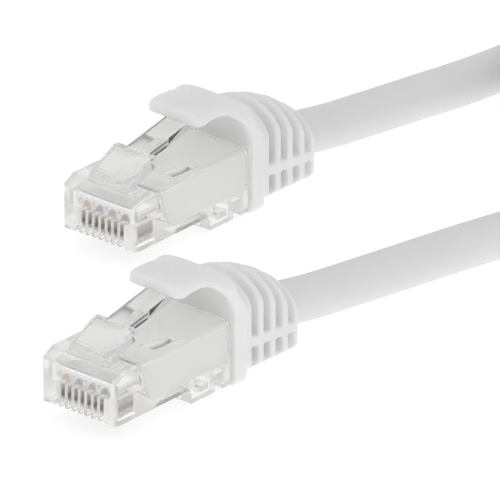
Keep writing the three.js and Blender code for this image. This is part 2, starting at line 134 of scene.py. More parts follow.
# Where in the part of each turn that faces the plugs the cord starts to change places, and over
# what share of that part it does so.
PLACE_CHANGES = (0.6, 0.3, 0.0)
CHANGE_LENGTH = 0.4
CORD_SIDES = 40
LEAD_A = [
    (0, 24.3, 4.8), (0, 29.4, 4.45), (0, 34.5, 3.8), (0.4, 38, 3.4), (0.9, 41, 3.1), (2.0, 48, 2.8),
    (3.5, 55, 2.8), (5.0, 62, 2.8), (6.0, 69, 2.8), (6.4, 76, 2.8), (6.3, 83, 2.8),
]
LEAD_B = [
    (29.7, -13.6, 4.8), (29.7, -8.5, 4.45), (29.7, -3.4, 3.8), (30.1, 0.1, 3.4), (30.6, 3.1, 3.1),
    (31.7, 10.1, 2.8), (33.2, 17.1, 2.8), (34.7, 24.1, 2.8), (36.5, 31.4, 2.8), (39.4, 40.0, 3.0),
    (44.4, 47.8, 4.3), (50.8, 54.0, 7.0),
]
TIE_ANGLE = 100.0
TIE_HALF_WIDTH = 2.0
TIE_THICKNESS = 0.7
TIE_LIFT = 0.9  # how far the turns rise to clear the tie
TIE_REACH = 14.0  # degrees round the coil over which they do


# ---- Where the plugs are -----------------------------------------------------------------------
def nose(side):
    """The plug's own origin, in metres: under the middle of its nose face."""
    low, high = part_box(f"plug_housing_{side}")
    return Vector(((low[0] + high[0]) / 2, low[1], high[2] - NOSE_HEIGHT * MM))


NOSES = {side: nose(side) for side in SIDES}


def at(side, x, y, z):
    """A point of the plug's frame, in metres in the row frame."""
    return NOSES[side] + Vector((x, y, z)) * MM


# ---- Camera ------------------------------------------------------------------------------------
AZIMUTH = math.radians(40.6)
ELEVATION = math.radians(25.4)
DISTANCE = 2.6
VIEW_WIDTH = 0.0602  # what the picture takes in, across, at the plugs
PICTURE_MIDDLE = (0.0137, 0.0004)  # across and up from the near lower corner of nose a, in metres


def make_camera():
    right = Vector((math.cos(AZIMUTH), math.sin(AZIMUTH), 0))
    back = Vector((math.sin(AZIMUTH) * math.cos(ELEVATION), -math.cos(AZIMUTH) * math.cos(ELEVATION),
                   math.sin(ELEVATION)))
    up = back.cross(right)
    target = at("a", PLUG_HALF_WIDTH, 0, 0) + right * PICTURE_MIDDLE[0] + up * PICTURE_MIDDLE[1]
    data = bpy.data.cameras.new("camera")
    data.sensor_width = 36
    data.lens = data.sensor_width * DISTANCE / VIEW_WIDTH
    data.clip_start = 0.5
    data.clip_end = 20
    camera = bpy.data.objects.new("camera", data)
    turn = Matrix((right, up, back)).transposed().to_4x4()
    camera.matrix_world = Matrix.Translation(target + back * DISTANCE) @ turn
    bpy.context.scene.collection.objects.link(camera)
    bpy.context.scene.camera = camera


make_camera()


# ---- Mesh helpers ------------------------------------------------------------------------------
def new_object(name, vertices, faces):
    mesh = bpy.data.meshes.new(name)
    mesh.from_pydata([tuple(v) for v in vertices], [], faces)
    bm = bmesh.new()
    bm.from_mesh(mesh)
    bmesh.ops.remove_doubles(bm, verts=bm.verts, dist=1e-6)
    bmesh.ops.recalc_face_normals(bm, faces=bm.faces)
    bm.to_mesh(mesh)
    bm.free()
    obj = bpy.data.objects.new(name, mesh)
    bpy.context.scene.collection.objects.link(obj)
    return obj


def loft(name, rings):
    """A closed skin over rings of points, all with the same count."""
    count = len(rings[0])
    vertices = [p for ring in rings for p in ring]
    faces = [tuple(range(count)), tuple((len(rings) - 1) * count + i for i in range(count))]
    for j in range(len(rings) - 1):
        for i in range(count):
            a, b = j * count + i, j * count + (i + 1) % count
            faces.append((a, b, b + count, a + count))
    return new_object(name, vertices, faces)


def prism(name, section, low, high, axis):
    """A section drawn in the plane across an axis (0, 1 or 2), pulled from low to high along it."""
    def point(p, level):
        placed = list(p)
        placed.insert(axis, level)
        return placed
    return loft(name, [[point(p, level) for p in section] for level in (low, high)])


def block(name, x, y, z):
    return prism(name, [(y[0], z[0]), (y[1], z[0]), (y[1], z[1]), (y[0], z[1])], x[0], x[1], 0)


def rod(name, radius, y0, y1, z, sides=64):
    """A round bar along the plug, with its axis at height z."""
    angles = [2 * math.pi * i / sides for i in range(sides)]
    ring = [(radius * math.cos(angle), z + radius * math.sin(angle)) for angle in angles]
    return prism(name, ring, y0, y1, 1)


def settle(obj):
    """Applies the object's modifiers to its mesh."""
    bpy.context.view_layer.update()
    graph = bpy.context.evaluated_depsgraph_get()
    mesh = bpy.data.meshes.new_from_object(obj.evaluated_get(graph), depsgraph=graph)
    old = obj.data
    obj.modifiers.clear()
    obj.data = mesh
    bpy.data.meshes.remove(old)
    return obj


def combine(obj, tools, operation):
    """Cuts tools from obj (DIFFERENCE) or joins them to it (UNION)."""
    for tool in tools:
        change = obj.modifiers.new("combine", "BOOLEAN")
        change.operation = operation
        change.solver = "EXACT"
        change.object = tool
        settle(obj)
        bpy.data.objects.remove(tool)
    return obj


def gather(obj, others):
    """Puts other closed meshes into obj's mesh as they are, for remesh() to fuse."""
    bm = bmesh.new()
    bm.from_mesh(obj.data)
    for other in others:
        bm.from_mesh(other.data)
        bpy.data.objects.remove(other)
    bm.to_mesh(obj.data)
    bm.free()
    return obj


def remesh(obj, size, rounds):
    """Fuses obj's shells into one skin of even faces and rounds its edges."""
    skin = obj.modifiers.new("remesh", "REMESH")
    skin.mode = "VOXEL"
    skin.voxel_size = size
    skin.use_smooth_shade = True
    smooth = obj.modifiers.new("smooth", "SMOOTH")
    smooth.factor = 0.5
    smooth.iterations = rounds
    return settle(obj)


def bevel(obj, width, segments=3, angle=35):
    """Rounds the edges that are sharper than an angle. The modifier stays until settle()."""
    edge = obj.modifiers.new("bevel", "BEVEL")
    edge.width = width
    edge.segments = segments
    edge.limit_method = "ANGLE"
    edge.angle_limit = math.radians(angle)


def shade_smooth(obj, angle=30):
    """Shades the mesh smooth, but for the edges that turn by more than an angle."""
    obj.data.shade_smooth()
    limit = math.cos(math.radians(angle))
    bm = bmesh.new()
    bm.from_mesh(obj.data)
    for edge in bm.edges:
        if len(edge.link_faces) == 2:
            edge.smooth = edge.link_faces[0].normal.dot(edge.link_faces[1].normal) > limit
    bm.to_mesh(obj.data)
    bm.free()


def set_down(obj, name, side, material, body=FIXED):
    """A copy of a millimetre shape, on one plug, in metres."""
    piece = bpy.data.objects.new(f"{name}_{side}", obj.data.copy())
    bpy.context.scene.collection.objects.link(piece)
    piece.data.transform(Matrix.Translation(NOSES[side]) @ Matrix.Scale(MM, 4))
    if not piece.data.materials:
        piece.data.materials.append(material)
    if body:
        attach(piece, body)
    return piece


def rounded_outline(half, bottom, top, top_round, bottom_round, steps):
    """A box's outline with round corners."""
    corners = (
        (half - bottom_round, bottom + bottom_round, bottom_round, -90),
        (half - top_round, top - top_round, top_round, 0),
        (-half + top_round, top - top_round, top_round, 90),
        (-half + bottom_round, bottom + bottom_round, bottom_round, 180),
    )
    return [
        (x + r * math.cos(math.radians(start + 90 * i / steps)),
         z + r * math.sin(math.radians(start + 90 * i / steps)))
        for x, z, r, start in corners for i in range(steps + 1)
    ]


def mix(a, b, t):
    return a + (b - a) * t


def smoothstep(t):
    t = min(max(t, 0.0), 1.0)
    return t * t * (3 - 2 * t)


# ---- Materials ---------------------------------------------------------------------------------
PVC_IOR = 1.52
CLEAR_IOR = 1.58  # polycarbonate
TRAPPED_AFTER = 3  # bounces after which clear plastic glows with a flat painted light, in the tone below, in place of the light caught inside it
TRAPPED_PAINTED_GLOW = (0.74, 0.74, 0.73, 1)
STRIPE_ABOVE = 0.75  # the stripe covers the part of a wire that faces up by more than this
# Along and up the latch tail's cut side, from 0 to 1: the painted light lines' tones by height, where
# they fade out (1) by length, and the painted dark wedge that starts past a length and lies above a
# slanted line.
TAIL_PAINTED_LINES = [
    (0.12, (0.62, 0.62, 0.62)), (0.18, (0.03, 0.03, 0.03)), (0.42, (0.03, 0.03, 0.03)),
    (0.47, (0.80, 0.80, 0.80)), (0.78, (0.80, 0.80, 0.80)), (0.83, (0.05, 0.05, 0.05)),
    (0.94, (0.05, 0.05, 0.05)), (0.99, (0.85, 0.85, 0.85)),
]
TAIL_FADE = [(0.02, (1, 1, 1)), (0.06, (0, 0, 0)), (0.39, (0, 0, 0)), (0.41, (1, 1, 1))]
TAIL_PLAIN = (0.86, 0.86, 0.855, 1)
TAIL_WANDER = 0.16
WEDGE_FROM = 0.43
WEDGE_SLANT = -3.1
WEDGE_LEVEL = -1.0
WEDGE_PAINTED_DARK = (0.05, 0.05, 0.05, 1)
# A contact's tone from its wiping edge up, over the heights given in millimetres. The near-black band
# is painted shade where the contact enters the comb.
CONTACT_HEIGHTS = (0.8, 2.8)
CONTACT_TONES_AND_SHADE = [
    (0.12, (0.74, 0.66, 0.50)), (0.20, (0.07, 0.05, 0.03)), (0.42, (0.07, 0.05, 0.03)),
    (0.56, (0.46, 0.38, 0.26)), (1.0, (0.62, 0.54, 0.40)),
]
HOLLOW_SHADE_REACH = 1.2  # in millimetres: how near another face of the mould brings painted shade onto it, in the tones below
HOLLOW_SHADE_TONES = [(0.45, (0.38, 0.38, 0.38)), (0.9, (1, 1, 1))]


class Nodes:
    """A material's node tree, with short calls to add and join nodes."""

    def __init__(self, name):
        self.material = bpy.data.materials.new(name)
        self.material.use_nodes = True
        self.tree = self.material.node_tree
        self.surface = self.tree.nodes["Principled BSDF"]
        self.output = self.tree.nodes["Material Output"]

    def add(self, kind, **values):
        node = self.tree.nodes.new(kind)
        for key, value in values.items():
            if hasattr(node, key):
                setattr(node, key, value)
            else:
                node.inputs[key.replace("_", " ").title()].default_value = value
        return node

    def join(self, out, into):
        self.tree.links.new(out, into)

    def set(self, **values):
        for key, value in values.items():
            self.surface.inputs[key.replace("_", " ").title()].default_value = value

    def noise(self, scale, detail=2.0, roughness=0.5, stretch=None):
        where = self.add("ShaderNodeTexCoord").outputs["Object"]
        if stretch:
            mapping = self.add("ShaderNodeMapping")
            mapping.inputs["Scale"].default_value = stretch
            self.join(where, mapping.inputs["Vector"])
            where = mapping.outputs["Vector"]
        node = self.add("ShaderNodeTexNoise", scale=scale, detail=detail, roughness=roughness)
        self.join(where, node.inputs["Vector"])
        return node.outputs["Fac"]

    def spread(self, value, low, high):
        """value, from about 0.3 to 0.7, spread from low to high."""
        node = self.add("ShaderNodeMapRange")
        for key, number in (("From Min", 0.3), ("From Max", 0.7), ("To Min", low), ("To Max", high)):
            node.inputs[key].default_value = number
        self.join(value, node.inputs["Value"])
        return node.outputs["Result"]

    def ramp(self, value, stops):
        node = self.add("ShaderNodeValToRGB")
        ramp = node.color_ramp
        while len(ramp.elements) < len(stops):
            ramp.elements.new(0.5)
        for element, (position, colour) in zip(ramp.elements, stops):
            element.position = position
            element.color = (*colour, 1)
        self.join(value, node.inputs["Fac"])
        return node.outputs["Color"]

    def bump(self, height, distance):
        node = self.add("ShaderNodeBump")
        node.inputs["Distance"].default_value = distance
        node.inputs["Strength"].default_value = 1.0
        self.join(height, node.inputs["Height"])
        self.join(node.outputs["Normal"], self.surface.inputs["Normal"])


def white_plastic(name, tone, rough, grain, grain_depth, soft, scatter=0.0012, painted_glow=0.0):
    """Moulded or extruded white PVC: a faint uneven tone, a satin skin and a little light let in.

    With a glow, hollows are darkened with painted shade and the skin glows with painted light in that
    shaded tone.
    """
    m = Nodes(name)
    patches = m.noise(180.0, 3.0)
    dark, light = [tuple(c * k for c in tone) for k in (0.965, 1.0)]
    skin = m.ramp(patches, [(0.3, dark), (0.7, light)])
    if painted_glow:
        # Painted shade: the skin darkens where another face of the same mesh is near.
        hollow_shade = m.add("ShaderNodeAmbientOcclusion", samples=8, only_local=True)
        hollow_shade.inputs["Distance"].default_value = HOLLOW_SHADE_REACH * MM
        shade = m.ramp(hollow_shade.outputs["AO"], HOLLOW_SHADE_TONES)
        product = m.add("ShaderNodeMix", data_type="RGBA", blend_type="MULTIPLY")
        product.inputs["Factor"].default_value = 1.0
        m.join(skin, product.inputs["A"])
        m.join(shade, product.inputs["B"])
        skin = product.outputs["Result"]
        # Painted glow: the skin gives off light in its shaded tone.
        m.join(skin, m.surface.inputs["Emission Color"])
    m.join(skin, m.surface.inputs["Base Color"])
    m.join(m.spread(m.noise(900.0, 4.0), rough - 0.06, rough + 0.06), m.surface.inputs["Roughness"])
    m.set(subsurface_weight=soft, subsurface_radius=(1.0, 0.95, 0.9), subsurface_scale=scatter)
    m.surface.inputs["Emission Strength"].default_value = painted_glow
    m.surface.inputs["IOR"].default_value = PVC_IOR
    m.bump(m.noise(grain, 3.0, 0.6), grain_depth)
    return m.material


def clear_plastic(name, tint, rough, clearness, waves=0.00003):
    """Polished clear polycarbonate with faint flow marks and a slight haze. Lamps shine through it.
    Past a few bounces inside it, it glows with a flat painted light.
    """
    m = Nodes(name)
    m.set(base_color=(*tint, 1), transmission_weight=clearness)
    m.surface.inputs["IOR"].default_value = CLEAR_IOR
    m.join(m.spread(m.noise(260.0, 2.0), rough, rough + 0.05), m.surface.inputs["Roughness"])
    m.bump(m.noise(420.0, 2.0, 0.5, (0.6, 0.6, 1.0)), waves)
    through = m.add("ShaderNodeBsdfTransparent")
    through.inputs["Color"].default_value = (1, 1, 1, 1)
    # Painted light: past TRAPPED_AFTER bounces the plastic glows in a flat tone in place of the light
    # caught inside it.
    path = m.add("ShaderNodeLightPath")
    trapped = m.add("ShaderNodeMath", operation="GREATER_THAN")
    trapped.inputs[1].default_value = TRAPPED_AFTER
    m.join(path.outputs["Ray Depth"], trapped.inputs[0])
    painted_glow = m.add("ShaderNodeEmission")
    painted_glow.inputs["Color"].default_value = TRAPPED_PAINTED_GLOW
    body = m.add("ShaderNodeMixShader")
    m.join(trapped.outputs["Value"], body.inputs["Fac"])
    m.join(m.surface.outputs["BSDF"], body.inputs[1])
    m.join(painted_glow.outputs["Emission"], body.inputs[2])
    choice = m.add("ShaderNodeMixShader")
    m.join(path.outputs["Is Shadow Ray"], choice.inputs["Fac"])
    m.join(body.outputs["Shader"], choice.inputs[1])
    m.join(through.outputs["BSDF"], choice.inputs[2])
    m.join(choice.outputs["Shader"], m.output.inputs["Surface"])
    return m.material


def clear_edge(name):
    """The tail's cut side, with painted light: two dark lines with a pale core where the clear plastic
    traps light.
    """
    m = Nodes(name)
    m.set(transmission_weight=0.35)
    m.surface.inputs["IOR"].default_value = CLEAR_IOR
    m.join(m.spread(m.noise(700.0, 2.0), 0.06, 0.14), m.surface.inputs["Roughness"])
    split = m.add("ShaderNodeSeparateXYZ")
    m.join(m.add("ShaderNodeUVMap", uv_map="tail").outputs["UV"], split.inputs["Vector"])
    wander = m.add("ShaderNodeMath", operation="MULTIPLY_ADD")
    m.join(m.noise(500.0, 2.0, 0.5, (1.0, 0.5, 1.0)), wander.inputs[0])
    wander.inputs[1].default_value = TAIL_WANDER
    m.join(split.outputs["Y"], wander.inputs[2])
    # Painted light: dark lines and a pale core, by height, on the cut side.
    painted_lines = m.ramp(wander.outputs["Value"], TAIL_PAINTED_LINES)
    fade = m.ramp(split.outputs["X"], TAIL_FADE)
    tone = m.add("ShaderNodeMix", data_type="RGBA")
    m.join(fade, tone.inputs["Factor"])
    m.join(painted_lines, tone.inputs["A"])
    tone.inputs["B"].default_value = TAIL_PLAIN
    slant = m.add("ShaderNodeMath", operation="MULTIPLY_ADD")
    m.join(split.outputs["X"], slant.inputs[0])
    slant.inputs[1].default_value = WEDGE_SLANT
    m.join(split.outputs["Y"], slant.inputs[2])
    above = m.add("ShaderNodeMath", operation="GREATER_THAN")
    above.inputs[1].default_value = WEDGE_LEVEL
    m.join(slant.outputs["Value"], above.inputs[0])
    beyond = m.add("ShaderNodeMath", operation="GREATER_THAN")
    beyond.inputs[1].default_value = WEDGE_FROM
    m.join(split.outputs["X"], beyond.inputs[0])
    # Painted dark wedge past WEDGE_FROM, above the slanted line.
    painted_wedge = m.add("ShaderNodeMath", operation="MULTIPLY")
    m.join(above.outputs["Value"], painted_wedge.inputs[0])
    m.join(beyond.outputs["Value"], painted_wedge.inputs[1])
    last = m.add("ShaderNodeMix", data_type="RGBA")
    m.join(painted_wedge.outputs["Value"], last.inputs["Factor"])
    m.join(tone.outputs["Result"], last.inputs["A"])
    last.inputs["B"].default_value = WEDGE_PAINTED_DARK
    m.join(last.outputs["Result"], m.surface.inputs["Base Color"])
    return m.material


def gold(base):
    """Gold plate, bright on the wiping edge, with painted shade, nearly black, where it enters the
    comb above it, and brown above that.

    base is the height of the plug's nose above the floor, in metres.
    """
    m = Nodes("gold_plate")
    worn = m.noise(2600.0, 3.0)
    split = m.add("ShaderNodeSeparateXYZ")
    m.join(m.add("ShaderNodeTexCoord").outputs["Object"], split.inputs["Vector"])
    height = m.add("ShaderNodeMapRange")
    height.inputs["From Min"].default_value = base + CONTACT_HEIGHTS[0] * MM
    height.inputs["From Max"].default_value = base + CONTACT_HEIGHTS[1] * MM
    m.join(split.outputs["Z"], height.inputs["Value"])
    # Painted shade: a near-black band where the contact enters the comb.
    shade = m.ramp(height.outputs["Result"], CONTACT_TONES_AND_SHADE)
    tone = m.add("ShaderNodeMix", data_type="RGBA", blend_type="MULTIPLY")
    tone.inputs["Factor"].default_value = 1.0
    m.join(m.ramp(worn, [(0.35, (0.85, 0.84, 0.80)), (0.65, (1, 1, 1))]), tone.inputs["A"])
    m.join(shade, tone.inputs["B"])
    m.join(tone.outputs["Result"], m.surface.inputs["Base Color"])
    m.set(metallic=1.0)
    m.join(m.spread(worn, 0.16, 0.34), m.surface.inputs["Roughness"])
    m.bump(m.noise(4000.0, 2.0, 0.5, (1.0, 6.0, 1.0)), 0.00001)
    return m.material


def insulation(name, colour, striped):
    """Polyethylene wire insulation. A white wire carries a stripe of its pair's colour."""
    m = Nodes(name)
    shade = m.noise(1500.0, 2.0)
    deep = tuple(c * 0.85 for c in colour)
    solid = m.ramp(shade, [(0.35, deep), (0.65, colour)])
    if striped:
        normal = m.add("ShaderNodeTexCoord").outputs["Normal"]
        split = m.add("ShaderNodeSeparateXYZ")
        m.join(normal, split.inputs["Vector"])
        band = m.add("ShaderNodeMath", operation="GREATER_THAN")
        band.inputs[1].default_value = STRIPE_ABOVE
        m.join(split.outputs["Z"], band.inputs[0])
        blend = m.add("ShaderNodeMix", data_type="RGBA")
        m.join(band.outputs["Value"], blend.inputs["Factor"])
        blend.inputs["A"].default_value = (0.82, 0.81, 0.78, 1)
        m.join(solid, blend.inputs["B"])
        solid = blend.outputs["Result"]
    m.join(solid, m.surface.inputs["Base Color"])
    m.join(m.spread(shade, 0.35, 0.5), m.surface.inputs["Roughness"])
    m.bump(m.noise(3000.0, 2.0), 0.00001)
    return m.material


BOOT_WHITE = white_plastic("boot_white", (0.86, 0.86, 0.86), 0.46, 5200.0, 0.000012, 0.6,
                           scatter=0.0025)
JACKET_WHITE = white_plastic("jacket_white", (0.80, 0.80, 0.80), 0.42, 3800.0, 0.000010, 0.15)
# The mould glows with painted light and carries painted shade in its hollows.
MOULD_WHITE = white_plastic("mould_white", (0.95, 0.95, 0.94), 0.50, 4200.0, 0.000010, 0.25, painted_glow=0.24)
TIE_WHITE = white_plastic("tie_white", (0.76, 0.76, 0.75), 0.50, 6000.0, 0.000014, 0.10)
HOUSING_CLEAR = clear_plastic("housing_clear", (0.955, 0.955, 0.95), 0.02, 0.80, 0.00008)
LATCH_CLEAR = clear_plastic("latch_clear", (0.84, 0.84, 0.84), 0.02, 0.92)
# The tail's cut side carries painted light lines and a painted dark wedge.
LATCH_EDGE = clear_edge("latch_edge_painted_light")
BAR_CLEAR = clear_plastic("bar_clear", (0.99, 0.985, 0.975), 0.06, 0.80)
GOLD = gold(NOSES["a"].z)
PAIR_COLOURS = {
    "orange": (0.66, 0.33, 0.19), "green": (0.20, 0.34, 0.18), "blue": (0.20, 0.24, 0.40),
    "brown": (0.26, 0.14, 0.09),
}
WIRE_ORDER = ("orange", "orange", "green", "blue", "blue", "green", "brown", "brown")
STRIPED_PINS = (1, 3, 5, 7)


# ---- The cord ----------------------------------------------------------------------------------
def coil_points():
    """The coil's turns from lead a to lead b, clockwise from above, two wide and two high.

    The turns fill the bundle's outer low, inner low, inner high and outer high places in that
    order, and change places one after another on the side of the coil that faces the plugs.
    """
    places = [(1, 1), (-1, 1), (-1, 3), (1, 3)]
    shared = COIL_ENTRY - COIL_EXIT
    window = 360 - shared
    total = (len(places) - 1) * 360 + shared
    steps = int(total / COIL_STEP)
    points = []
    for step in range(1, steps):
        turned = total * step / steps
        turn, within = int(turned // 360), turned % 360
        across, up = places[turn]
        if turn < len(PLACE_CHANGES) and within > shared:
            begin = shared + window * PLACE_CHANGES[turn]
            t = smoothstep((within - begin) / (window * CHANGE_LENGTH))
            across = mix(across, places[turn + 1][0], t)
            up = mix(up, places[turn + 1][1], t)
        angle = math.radians(COIL_ENTRY - turned)
        reach = COIL_RADIUS + across * CORD_RADIUS
        from_tie = (math.degrees(angle) - TIE_ANGLE + 180) % 360 - 180
        lift = TIE_LIFT * math.exp(-(from_tie / TIE_REACH) ** 2)
        points.append((COIL_CENTRE[0] + reach * math.cos(angle),
                       COIL_CENTRE[1] + reach * math.sin(angle), up * CORD_RADIUS + lift))
    return points


def smooth_line(points, spacing):
    """Evenly spaced points on a centripetal Catmull-Rom curve through the given ones."""
    p = np.array(points, float)
    p = np.vstack([2 * p[0] - p[1], p, 2 * p[-1] - p[-2]])
    out = []
    for i in range(1, len(p) - 2):
        t0 = 0.0
        t1 = t0 + np.linalg.norm(p[i] - p[i - 1]) ** 0.5
        t2 = t1 + np.linalg.norm(p[i + 1] - p[i]) ** 0.5
        t3 = t2 + np.linalg.norm(p[i + 2] - p[i + 1]) ** 0.5
        for t in np.linspace(t1, t2, 24, endpoint=False):
            a1 = (t1 - t) / (t1 - t0) * p[i - 1] + (t - t0) / (t1 - t0) * p[i]
            a2 = (t2 - t) / (t2 - t1) * p[i] + (t - t1) / (t2 - t1) * p[i + 1]
            a3 = (t3 - t) / (t3 - t2) * p[i + 1] + (t - t2) / (t3 - t2) * p[i + 2]
            b1 = (t2 - t) / (t2 - t0) * a1 + (t - t0) / (t2 - t0) * a2
            b2 = (t3 - t) / (t3 - t1) * a2 + (t - t1) / (t3 - t1) * a3
            out.append((t2 - t) / (t2 - t1) * b1 + (t - t1) / (t2 - t1) * b2)
    out.append(p[-2])
    out = np.array(out)
    along = np.concatenate([[0], np.cumsum(np.linalg.norm(np.diff(out, axis=0), axis=1))])
    wanted = np.linspace(0, along[-1], int(round(along[-1] / spacing)) + 1)
    return np.stack([np.interp(wanted, along, out[:, k]) for k in range(3)], axis=1)


def tube_rings(line, radius, sides):
    """Rings across a line, turned as little as possible from one to the next."""
    ahead = np.gradient(line, axis=0)
    ahead /= np.linalg.norm(ahead, axis=1)[:, None]
    side = np.cross(ahead[0], (0, 0, 1))
    angles = 2 * np.pi * np.arange(sides) / sides
    cosines, sines = np.cos(angles)[:, None], np.sin(angles)[:, None]
    rings = []
    for point, forward in zip(line, ahead):
        side = side - forward * side.dot(forward)
        side /= np.linalg.norm(side)
        up = np.cross(side, forward)
        rings.append([tuple(p) for p in point + radius * (cosines * side + sines * up)])
    return rings


def make_cord():
    base = NOSES["a"]
    route = smooth_line(LEAD_A + coil_points() + LEAD_B[::-1], 1.0)
    line = route * MM + np.array((base.x, base.y, 0))
    cord = loft("cord", tube_rings(line, CORD_RADIUS * MM, CORD_SIDES))
    cord.data.shade_smooth()
    cord.data.materials.append(JACKET_WHITE)
    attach(cord, FIXED)
    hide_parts("cable_lead_a", "cable_coil", "cable_lead_b")


make_cord()


def make_tie():
    """A flat ribbon round the bundle, with its corners rounded by the turns."""
    half, height, thick = 2 * CORD_RADIUS + 0.3, 4 * CORD_RADIUS + 2.0, TIE_THICKNESS
    outside = rounded_outline(half + thick, 0, height, 2.6, 2.6, 8)
    inside = rounded_outline(half, thick, height - thick, 2.0, 2.0, 8)
    tie = prism("tie_ribbon", outside, -TIE_HALF_WIDTH, TIE_HALF_WIDTH, 1)
    combine(tie, [prism("tie_room", inside, -2 * TIE_HALF_WIDTH, 2 * TIE_HALF_WIDTH, 1)],
            "DIFFERENCE")
    bevel(tie, 0.15)
    settle(tie)
    shade_smooth(tie)
    base = NOSES["a"]
    centre = Vector((base.x, base.y, 0)) + Vector((*COIL_CENTRE, 0)) * MM
    turn = Matrix.Rotation(math.radians(TIE_ANGLE), 4, "Z")
    tie.data.transform(Matrix.Translation(centre) @ turn @ Matrix.Scale(MM, 4)
                       @ Matrix.Translation((COIL_RADIUS, 0, 0)))
    tie.data.materials.append(TIE_WHITE)
    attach(tie, FIXED)
    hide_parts("cable_tie")


make_tie()


# ---- Boot and hood -----------------------------------------------------------------------------
CORNER_POINTS = 7
SIDE_POINTS = 60
ROOF_POINTS = 18
ARCH_POINTS = 20


def roof_points(half, top, roof, power, count):
    """A quarter of a superellipse of the given power, from the right side up to the middle."""
    return [(half * math.cos(a) ** (2 / power), top - roof + roof * math.sin(a) ** (2 / power))
            for a in np.linspace(0, math.pi / 2, count)]


def outline(half, bottom, top, roof, power, corner):
    """Straight sides under a superellipse roof, over small bottom corners."""
    ring = [(half - corner * (1 - math.sin(a)), bottom + corner * (1 - math.cos(a)))
            for a in np.linspace(0, math.pi / 2, CORNER_POINTS)]
    ring += [(half, z) for z in np.linspace(bottom + corner, top - roof, SIDE_POINTS)[1:-1]]
    ring += roof_points(half, top, roof, power, ROOF_POINTS)
    return ring + [(-x, z) for x, z in reversed(ring)]


def body_ring(y):
    """The boot's outline behind its collar. In a slot, the part above and below the spine steps in."""
    t = (y - COLLAR["back"]) / (BOOT_END - COLLAR["back"])
    half, bottom = (mix(BODY_FRONT[k], BODY_REAR[k], t) for k in ("half", "bottom"))
    top = mix(BODY_FRONT["top"], BODY_REAR["top"], max(t, 0) ** 2)
    top -= NECK_DIP * (1 - smoothstep((y - COLLAR["back"]) / NECK_LENGTH))
    share = (y - SLOTS[0]) / (SLOTS[-1] - SLOTS[0])
    spine_top, spine_bottom = (mix(*ends, share) for ends in (SPINE_TOP, SPINE_BOTTOM))
    in_slot = max(smoothstep((SLOT_WIDTH / 2 + SLOT_EDGE / 2 - abs(y - s)) / SLOT_EDGE)
                  for s in SLOTS)
    into_round = max(0.0, (y - BOOT_END + BOOT_END_ROUND) / BOOT_END_ROUND)
    end = BOOT_END_ROUND * (1 - math.sqrt(max(0.0, 1 - into_round ** 2)))
    outer = outline(half - end, bottom + end, top - end, ROOF, ROOF_POWER, BOTTOM_CORNER)
    inner = outline(SLOT_DEPTH_TO, bottom, top - GROOVE_DEPTH, ROOF + 0.4, 2.0, BOTTOM_CORNER)
    ring = []
    for (x, z), (floor_x, floor_z) in zip(outer, inner):
        above_spine = smoothstep((z - spine_top) / SPINE_EDGE)
        below_spine = smoothstep((spine_bottom - z) / SPINE_EDGE)
        above_foot = smoothstep((z - bottom - FOOT_HEIGHT) / FOOT_EDGE)
        depth = in_slot * max(above_spine, below_spine * above_foot)
        ring.append((mix(x, floor_x, depth), y, mix(z, floor_z, depth) if z > top - ROOF else z))
    return ring


def arch(half, top, roof, power, low):
    """The outer line of a hood section from its lower right border up to its middle."""
    right = [(x, z) for x, z in roof_points(half, top, roof, power, ARCH_POINTS) if z > low + 0.15]
    x_low = half * max(0.0, 1 - max(0.0, (low - top + roof) / roof) ** power) ** (1 / power)
    right.insert(0, (x_low, low))
    across = np.linspace(0, 1, 24)
    along = np.concatenate([[0], np.cumsum([math.dist(a, b) for a, b in zip(right, right[1:])])])
    xs = np.interp(across * along[-1], along, [p[0] for p in right])
    zs = np.interp(across * along[-1], along, [p[1] for p in right])
    return list(zip(xs, zs))


def hood_solid():
    """The hood over the latch: a lip at its tip, and a root that flares into the collar's arch."""
    front = COLLAR["front"]
    rings = []
    tip_rings = np.linspace(HOOD_TIP + 0.01, 14.2, 14)
    root_rings = np.linspace(14.4, front + 0.5, 34)
    for y in np.concatenate([tip_rings, root_rings]):
        half = np.interp(y, *zip(*HOOD_WIDTHS))
        low = np.interp(y, *zip(*HOOD_BORDERS))
        root = smoothstep((y - 15.0) / (front - 15.0))
        top = mix(HOOD_TOP, COLLAR["top"], smoothstep((y - 14.0) / 8.0))
        into_lip = max(0.0, (HOOD_NOSE - y) / 0.9) ** 2
        top -= 0.25 * into_lip
        low += 0.45 * into_lip
        roof = mix(top - low - 0.2, ROOF, max(0.0, (root - HOOD_ROOT_AT) / (1 - HOOD_ROOT_AT)))
        line = arch(half, top, roof, mix(3.6, 4.0, root), low)
        thick = mix(*HOOD_WALL, smoothstep((y - HOOD_TIP) / 3.0))
        inside = []
        for x, z in line:
            share = (z - low) / (top - low)
            inside.append((x * (1 - min(0.95, thick * (1 - 0.55 * share) / max(half, thick))),
                           max(low, z - thick * share ** 0.8)))
        outer = line + [(-x, z) for x, z in reversed(line[:-1])]
        inner = inside + [(-x, z) for x, z in reversed(inside[:-1])]
        rings.append([(x, y, z) for x, z in outer] + [(x, y, z - 0.02) for x, z in reversed(inner)])
    return loft("hood", rings)


